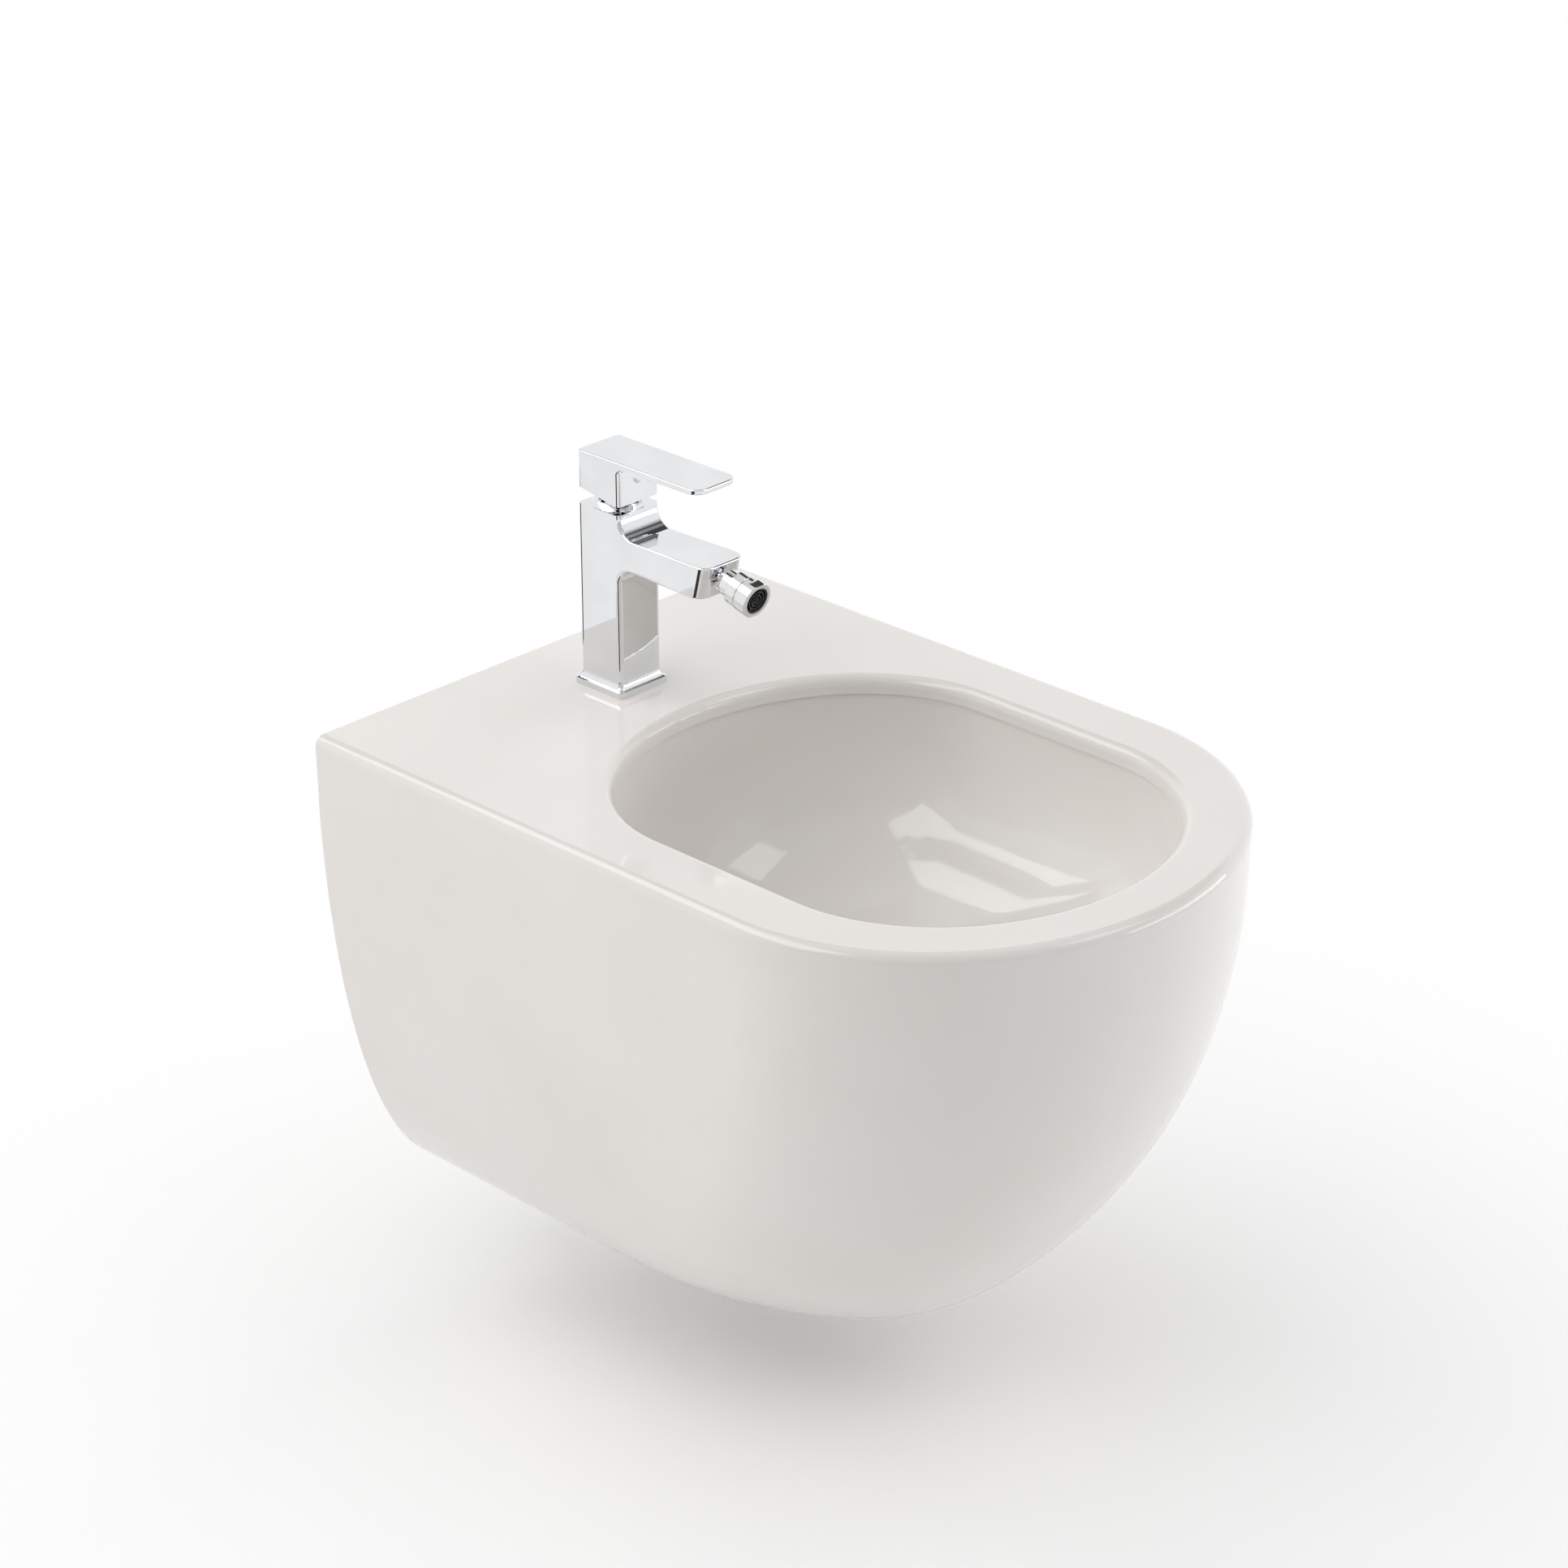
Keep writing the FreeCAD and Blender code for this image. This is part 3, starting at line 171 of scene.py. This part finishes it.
# %% Metals
chrome_plate = cloudy_material("chrome_plate", "#E0E2E4", "#E8E9EB", cloud_mm=25.0,
                               low_rough=0.02, high_rough=0.05, grain_mm=6.0)
zinc_steel = cloudy_material("zinc_steel", "#AEB4BB", "#CCD0D4", cloud_mm=3.0,
                             low_rough=0.26, high_rough=0.42, grain_mm=1.2)
turned_brass = cloudy_material("turned_brass", "#C29A4C", "#D8B566", cloud_mm=8.0,
                               low_rough=0.22, high_rough=0.36, grain_mm=1.5)
for metal in (chrome_plate, zinc_steel, turned_brass):
    metal.node_tree.nodes["Principled BSDF"].inputs["Metallic"].default_value = 1.0

# Lathe rings are about 0.1 mm apart; they are drawn at 0.4 mm so that a picture can show them.
ring_spacing = 0.4 * mm
drawn_out = (0.1, 0.1, 1.0)
tree = turned_brass.node_tree
place = tree.nodes["place"].outputs["Object"]
stretched = add(tree, "Mapping", {"Vector": place, "Scale": drawn_out}).outputs["Vector"]
rings = add(tree, "TexNoise", {"Vector": stretched, "Scale": 1 / ring_spacing}).outputs["Fac"]
bump = add(tree, "Bump", {"Height": rings, "Distance": 0.02 * mm})
tree.links.new(bump.outputs["Normal"], tree.nodes["Principled BSDF"].inputs["Normal"])
print("metals", chrome_plate.name, zinc_steel.name, turned_brass.name)

# %% [markdown]
# Seals are black rubber, moulded and matt. The cartridge and the sleeves are nylon in its natural milky white,
# which lets a little light in. The push cartridge and the outlet grating are black acetal, and the valve discs
# are lapped alumina.

# %% Rubber, plastics and valve ceramic
black_rubber = cloudy_material("black_rubber", "#1B1B1C", "#29292A", cloud_mm=6.0,
                               low_rough=0.6, high_rough=0.85, grain_mm=0.6)
tree = black_rubber.node_tree
bump = add(tree, "Bump", {"Height": tree.nodes["grain"].outputs["Fac"], "Distance": 0.03 * mm})
tree.links.new(bump.outputs["Normal"], tree.nodes["Principled BSDF"].inputs["Normal"])

white_nylon = cloudy_material("white_nylon", "#DFDCD2", "#ECEAE3", cloud_mm=10.0,
                              low_rough=0.35, high_rough=0.5, grain_mm=1.0)
shader = white_nylon.node_tree.nodes["Principled BSDF"]
shader.inputs["Subsurface Weight"].default_value = 0.15
shader.inputs["Subsurface Scale"].default_value = 1.0 * mm

black_acetal = cloudy_material("black_acetal", "#18191B", "#242528", cloud_mm=8.0,
                               low_rough=0.26, high_rough=0.4, grain_mm=0.8)
alumina = cloudy_material("alumina", "#EBE7DA", "#F2EFE6", cloud_mm=5.0,
                          low_rough=0.12, high_rough=0.25, grain_mm=0.5)
print("plastics", black_rubber.name, white_nylon.name, black_acetal.name, alumina.name)

# %% [markdown]
# The record says which finish each working part has, so one loop hands them out.

# %% Hand out the finishes
finishes = {
    "glazed_china": glazed_china,
    "chrome_plate": chrome_plate,
    "zinc_steel": zinc_steel,
    "turned_brass": turned_brass,
    "black_rubber": black_rubber,
    "white_nylon": white_nylon,
    "black_acetal": black_acetal,
    "alumina": alumina,
}
for part in frame["record"]["subparts"]:
    node = frame["nodes"][part["node"]]
    node.data.materials.clear()
    node.data.materials.append(finishes[part["material_slot"]])

# %% [markdown]
# The casting comes in ten sections, because the working model needs plain pieces to collide with. On the real one
# the back was ground flat for the wall, and no glaze reaches the inside of the hollow: there the clay is bare, and
# all the rest is glazed. So each face of a section is sorted by its place and by the way that it faces.

# %% Where the clay is bare
basin_middle = Vector((0.0, -0.28, 0.08))
hollow_middle = Vector((0.0, -0.20, -0.08))
under_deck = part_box("china_deck")[0].z
square_on = 0.9
close_to = 0.1 * mm


def is_bare(name, place, facing):
    """Whether a face of the casting is bare clay."""
    if facing.y > square_on and place.y > -close_to:
        return True
    if "bowl" in name:
        return facing.dot(basin_middle - place) < 0
    if name.endswith(("deck", "rim")):
        return facing.z < -square_on and place.z < under_deck + close_to
    return facing.dot(hollow_middle - place) > 0


print("deck underside at", round(under_deck, 3))

# %% [markdown]
# The real casting left the kiln in one piece, so copies of the sections are joined into one mesh. A copy comes in
# as loose triangles, so its doubled points are merged first. It keeps the smooth normals that it came with, so the
# glaze runs over the seams without a mark. A Boolean union would cut new faces along the seams and could disturb
# those normals, so the copies are only joined.

# %% The casting in one piece
doubled_within = 0.001 * mm
china_nodes = {name: node for name, node in frame["nodes"].items() if name.startswith("china_")}
bpy.ops.object.select_all(action="DESELECT")
for name, node in china_nodes.items():
    china = bpy.data.objects.new("china_body", node.data.copy())
    bpy.context.scene.collection.objects.link(china)
    china.matrix_world = node.matrix_world
    china.data.materials.append(bare_clay)
    for face in china.data.polygons:
        face.material_index = int(is_bare(name, face.center, face.normal))
    china.select_set(True)
bpy.context.view_layer.objects.active = china
bpy.ops.object.mode_set(mode="EDIT")
bpy.ops.mesh.select_all(action="SELECT")
bpy.ops.mesh.remove_doubles(threshold=doubled_within, use_sharp_edge_from_normals=True)
bpy.ops.object.mode_set(mode="OBJECT")
bpy.ops.object.join()
china.name = "china_body"
china.select_set(False)
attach(china, "bidet")
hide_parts(*china_nodes)
print("china faces", len(china.data.polygons))

# %% [markdown]
# Under the plunger of the push-to-close waste sits a small coil spring, the one piece that changes its shape: it
# gets shorter as the plug goes down. Its place, its length and the width of the coil come from the working part
# that it replaces.

# %% Sizes of the return spring
wire_radius = 0.35 * mm
spring_low, spring_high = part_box("return_spring")
spring_length = spring_high.z - spring_low.z
coil_radius = (spring_high.x - spring_low.x) / 2 - wire_radius
spring_foot = Vector(((spring_low.x + spring_high.x) / 2, (spring_low.y + spring_high.y) / 2, spring_low.z))

# %% [markdown]
# The outline of the wire, a small circle beside the axis, is swept round and up by a Screw modifier, and the two
# open ends of the tube are closed. A curve with a round bevel would give a coil too, but the modifier needs only the
# circle, the number of turns and the pitch.

# %% The return spring
wire_sides = 12
spring_turns = 7
steps_per_turn = 24
crease_angle = math.radians(40.0)

bpy.ops.object.select_all(action="DESELECT")
bpy.ops.mesh.primitive_circle_add(vertices=wire_sides, radius=wire_radius,
                                  location=(coil_radius, 0.0, wire_radius), rotation=(math.pi / 2, 0.0, 0.0))
spring = bpy.context.object
spring.name = "spring_coil"
bpy.ops.object.transform_apply(location=True, rotation=True, scale=True)
sweep = spring.modifiers.new("sweep", "SCREW")
sweep.axis = "Z"
sweep.angle = 2 * math.pi
sweep.iterations = spring_turns
sweep.screw_offset = (spring_length - 2 * wire_radius) / spring_turns
sweep.steps = sweep.render_steps = steps_per_turn
bpy.ops.object.modifier_apply(modifier=sweep.name)
spring.location = spring_foot
bpy.ops.object.transform_apply(location=True, rotation=True, scale=True)
bpy.ops.object.mode_set(mode="EDIT")
bpy.ops.mesh.select_all(action="SELECT")
bpy.ops.mesh.fill_holes(sides=0)
bpy.ops.mesh.select_all(action="SELECT")
bpy.ops.mesh.normals_make_consistent(inside=False)
bpy.ops.object.mode_set(mode="OBJECT")
bpy.ops.object.shade_smooth_by_angle(angle=crease_angle)
spring.data.materials.append(zinc_steel)
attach(spring, "bidet")
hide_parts("return_spring")
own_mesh(spring)
print("spring faces", len(spring.data.polygons))

# %% [markdown]
# The studio starts with a pale floor, 400 mm under the rim as in a bathroom. It is one plane, far wider than the
# picture, with the object over its middle.

# %% Floor
rim_above_floor = 0.400
floor_half = 6.0
floor_middle = (0.0, -0.25)
deck_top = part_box("china_deck")[1].z
floor_z = deck_top - rim_above_floor

bpy.ops.object.select_all(action="DESELECT")
bpy.ops.mesh.primitive_plane_add(size=2 * floor_half, location=(*floor_middle, floor_z))
floor = bpy.context.object
floor.name = "studio_floor"
print("floor at", round(floor_z, 3))

# %% [markdown]
# Under the object the floor is a plain matt surface that holds the shadow. Further out it turns by and by into even
# white, so that the picture has no horizon. A Light Path node keeps that glow for the camera, mirrors and glass, so
# that it adds no soft light to the object.

# %% Floor finish
matt_within, white_beyond = 0.10, 0.80
white = (1.0, 1.0, 1.0, 1.0)
pale_floor = cloudy_material("pale_floor", "#F7F7F7", "#F9F9F9", cloud_mm=400.0,
                             low_rough=0.8, high_rough=0.9, grain_mm=50.0)
tree = pale_floor.node_tree
place = tree.nodes["place"].outputs["Object"]
distance = add(tree, "VectorMath", {0: place}, operation="LENGTH").outputs["Value"]
far_share = add(tree, "MapRange", {"Value": distance, "From Min": matt_within, "From Max": white_beyond},
                interpolation_type="SMOOTHSTEP").outputs["Result"]
path = add(tree, "LightPath").outputs
seen = add(tree, "Math", {0: path["Is Camera Ray"], 1: path["Is Glossy Ray"]}, operation="ADD").outputs["Value"]
seen = add(tree, "Math", {0: seen, 1: path["Is Transmission Ray"]}, operation="ADD").outputs["Value"]
share = add(tree, "Math", {0: far_share, 1: seen}, operation="MULTIPLY", use_clamp=True).outputs["Value"]
glow = add(tree, "Emission", {"Color": white, "Strength": 1.0}).outputs["Emission"]
matt = tree.nodes["Principled BSDF"].outputs["BSDF"]
mixed = add(tree, "MixShader", {"Fac": share, 1: matt, 2: glow}).outputs["Shader"]
tree.links.new(mixed, tree.nodes["Material Output"].inputs["Surface"])
floor.data.materials.append(pale_floor)
print("floor finish", pale_floor.name)

# %% [markdown]
# Chrome needs something dark to draw its edges with. The room is white up to 30 degrees above the level, and its
# ceiling is duller. On the far side from the camera there is a dark band in between. Behind the camera the room is
# dark low down, which lets the front of the china fall off into shade.
# Three Color Ramp nodes hold the walls, as greys over the height of the direction, which is the sine of its angle.

# %% Walls of the room
wall_greys = {
    "far": [(0.50, 1.0), (0.545, 0.06), (0.743, 0.06), (0.80, 0.8)],
    "side": [(0.50, 1.0), (0.80, 0.8)],
    "near": [(0.55, 0.01), (0.75, 1.0)],
}

world = bpy.data.worlds.new("studio_room")
world.use_nodes = True
bpy.context.scene.world = world
tree = world.node_tree
direction = add(tree, "TexCoord").outputs["Generated"]
height = add(tree, "SeparateXYZ", {"Vector": direction}).outputs["Z"]

walls = {}
for side, greys in wall_greys.items():
    ramp = add(tree, "ValToRGB", {"Fac": height})
    stops = ramp.color_ramp.elements
    heights, shades = zip(*greys)
    stops[0].position, stops[1].position = heights[0], heights[-1]
    for between in heights[1:-1]:
        stops.new(between)
    for stop, shade in zip(stops, shades):
        stop.color = (shade, shade, shade, 1.0)
    walls[side] = ramp.outputs["Color"]
print("walls", *walls)

# %% [markdown]
# How far a direction points to the camera's side, from 1 straight at it to -1 straight away, picks the wall, with a
# soft change from one to the next. Glossy rays get only a part of the dark wall, so that metal shows it as grey.
# The camera itself sees plain white all round.

# %% Walls in place
camera_side = (-0.72, -0.694, 0.0)
away_starts, away_full = -0.10, -0.35
near_starts, near_full = 0.40, 0.65
near_in_mirrors = 0.4
toward = add(tree, "VectorMath", {0: direction, 1: camera_side}, operation="DOT_PRODUCT").outputs["Value"]
away_share = add(tree, "MapRange", {"Value": toward, "From Min": away_starts, "From Max": away_full},
                 interpolation_type="SMOOTHSTEP").outputs["Result"]
near_share = add(tree, "MapRange", {"Value": toward, "From Min": near_starts, "From Max": near_full},
                 interpolation_type="SMOOTHSTEP").outputs["Result"]
path = add(tree, "LightPath").outputs
near_strength = add(tree, "Math", {0: path["Is Glossy Ray"], 1: near_in_mirrors - 1.0, 2: 1.0},
                    operation="MULTIPLY_ADD").outputs["Value"]
near_share = add(tree, "Math", {0: near_share, 1: near_strength}, operation="MULTIPLY").outputs["Value"]
room = add(tree, "MixRGB", {"Fac": away_share, "Color1": walls["side"], "Color2": walls["far"]}).outputs["Color"]
room = add(tree, "MixRGB", {"Fac": near_share, "Color1": room, "Color2": walls["near"]}).outputs["Color"]
room = add(tree, "MixRGB", {"Fac": path["Is Camera Ray"], "Color1": room, "Color2": white}).outputs["Color"]
tree.links.new(room, tree.nodes["Background"].inputs["Color"])
bpy.context.scene.view_settings.view_transform = "Standard"
print("room", world.name)

# %% [markdown]
# Soft boxes are area lamps. Four of them give the soft light, and the first three of those are hidden from glossy
# rays. Two more give no soft light and only show in the shine, like windows: one on the left, which the glaze shows
# as the long glint on the floor of the bowl, and a small one on the right for the short glint.

# %% Soft boxes
lamp_aim = Vector((0.0, -0.28, 0.02))
lamp_distance = 2.2


def soft_box(name, azimuth, elevation, width, height, radiance):
    """An area lamp that looks at the bowl from an azimuth and an elevation in degrees."""
    turn, rise = math.radians(azimuth), math.radians(elevation)
    out = Vector((math.cos(rise) * math.cos(turn), math.cos(rise) * math.sin(turn), math.sin(rise)))
    lamp = bpy.data.lights.new(name, "AREA")
    lamp.shape = "RECTANGLE"
    lamp.size = width
    lamp.size_y = height
    lamp.energy = radiance * math.pi * width * height
    made = bpy.data.objects.new(name, lamp)
    bpy.context.scene.collection.objects.link(made)
    made.location = lamp_aim + lamp_distance * out
    made.rotation_euler = (-out).to_track_quat("-Z", "Y").to_euler()
    return made


back_left_box = soft_box("back_left_box", 109.0, 37.0, width=1.25, height=1.25, radiance=2.0)
left_box = soft_box("left_box", 175.0, 34.0, width=1.8, height=1.4, radiance=1.4)
right_box = soft_box("right_box", 5.0, 30.0, width=1.2, height=1.2, radiance=1.6)
for box in (back_left_box, left_box, right_box):
    box.visible_glossy = False
soft_box("right_low_box", -45.0, 4.0, width=1.8, height=0.6, radiance=3.0)
left_window = soft_box("left_window", 142.0, 50.0, width=2.54, height=1.18, radiance=2.6)
right_window = soft_box("right_window", -57.0, 49.0, width=0.8, height=0.75, radiance=2.2)
for window in (left_window, right_window):
    window.visible_diffuse = False
print("lamps", len(bpy.data.lights))

# %% [markdown]
# A photographer of chrome also lays out black flags, cards that the mirror-bright metal shows as dark lines along
# its edges. Here they are single faces of matt black. They are hidden from all rays but glossy ones, and their back
# faces are clear, so that the glaze of the deck, which looks up through a card that lies on it, never shows it.

# %% Black card
flag_black = cloudy_material("flag_black", "#0B0B0B", "#141414", cloud_mm=40.0,
                             low_rough=0.8, high_rough=0.95, grain_mm=5.0)
tree = flag_black.node_tree
back_side = add(tree, "NewGeometry").outputs["Backfacing"]
matt = tree.nodes["Principled BSDF"].outputs["BSDF"]
clear = add(tree, "BsdfTransparent").outputs["BSDF"]
one_sided = add(tree, "MixShader", {"Fac": back_side, 1: matt, 2: clear}).outputs["Shader"]
tree.links.new(one_sided, tree.nodes["Material Output"].inputs["Surface"])


def black_flag(name, corners):
    """A card that is black on the side from which its corners run anticlockwise."""
    card = bpy.data.meshes.new(name)
    card.from_pydata(corners, [], [range(len(corners))])
    card.materials.append(flag_black)
    flag = bpy.data.objects.new(name, card)
    bpy.context.scene.collection.objects.link(flag)
    flag.visible_camera = False
    flag.visible_diffuse = False
    flag.visible_transmission = False
    flag.visible_shadow = False
    return flag


print("card", flag_black.name)

# %% [markdown]
# The camera looks down, so the rounded upright edges of the tap mirror what lies low around it. A narrow fan of card
# lies on the deck to the left of the tap, a little to its front, and reaches out past the edge. A second card stands
# low behind the deck. Both are kept narrow, because a wide card shows in other views as a black field on the flat
# sides of the tap.

# %% Black flags
fan_tip_x, fan_tip_y = -0.020, -0.097
fan_near, fan_far = 0.03, 0.42
fan_first, fan_last = math.radians(-178.0), math.radians(-150.0)
fan_level = deck_top + 0.5 * mm
fan_spread = ((fan_near, fan_first), (fan_far, fan_first), (fan_far, fan_last), (fan_near, fan_last))
front_flag = black_flag("front_flag", [(fan_tip_x + reach * math.cos(turn), fan_tip_y + reach * math.sin(turn),
                                        fan_level) for reach, turn in fan_spread])

card_left, card_right = -0.23, 0.06
card_foot, card_top = -0.10, 0.06
card_y = 0.30
back_flag = black_flag("back_flag", [(card_left, card_y, card_foot), (card_right, card_y, card_foot),
                                     (card_right, card_y, card_top), (card_left, card_y, card_top)])
print("flags", front_flag.name, back_flag.name)
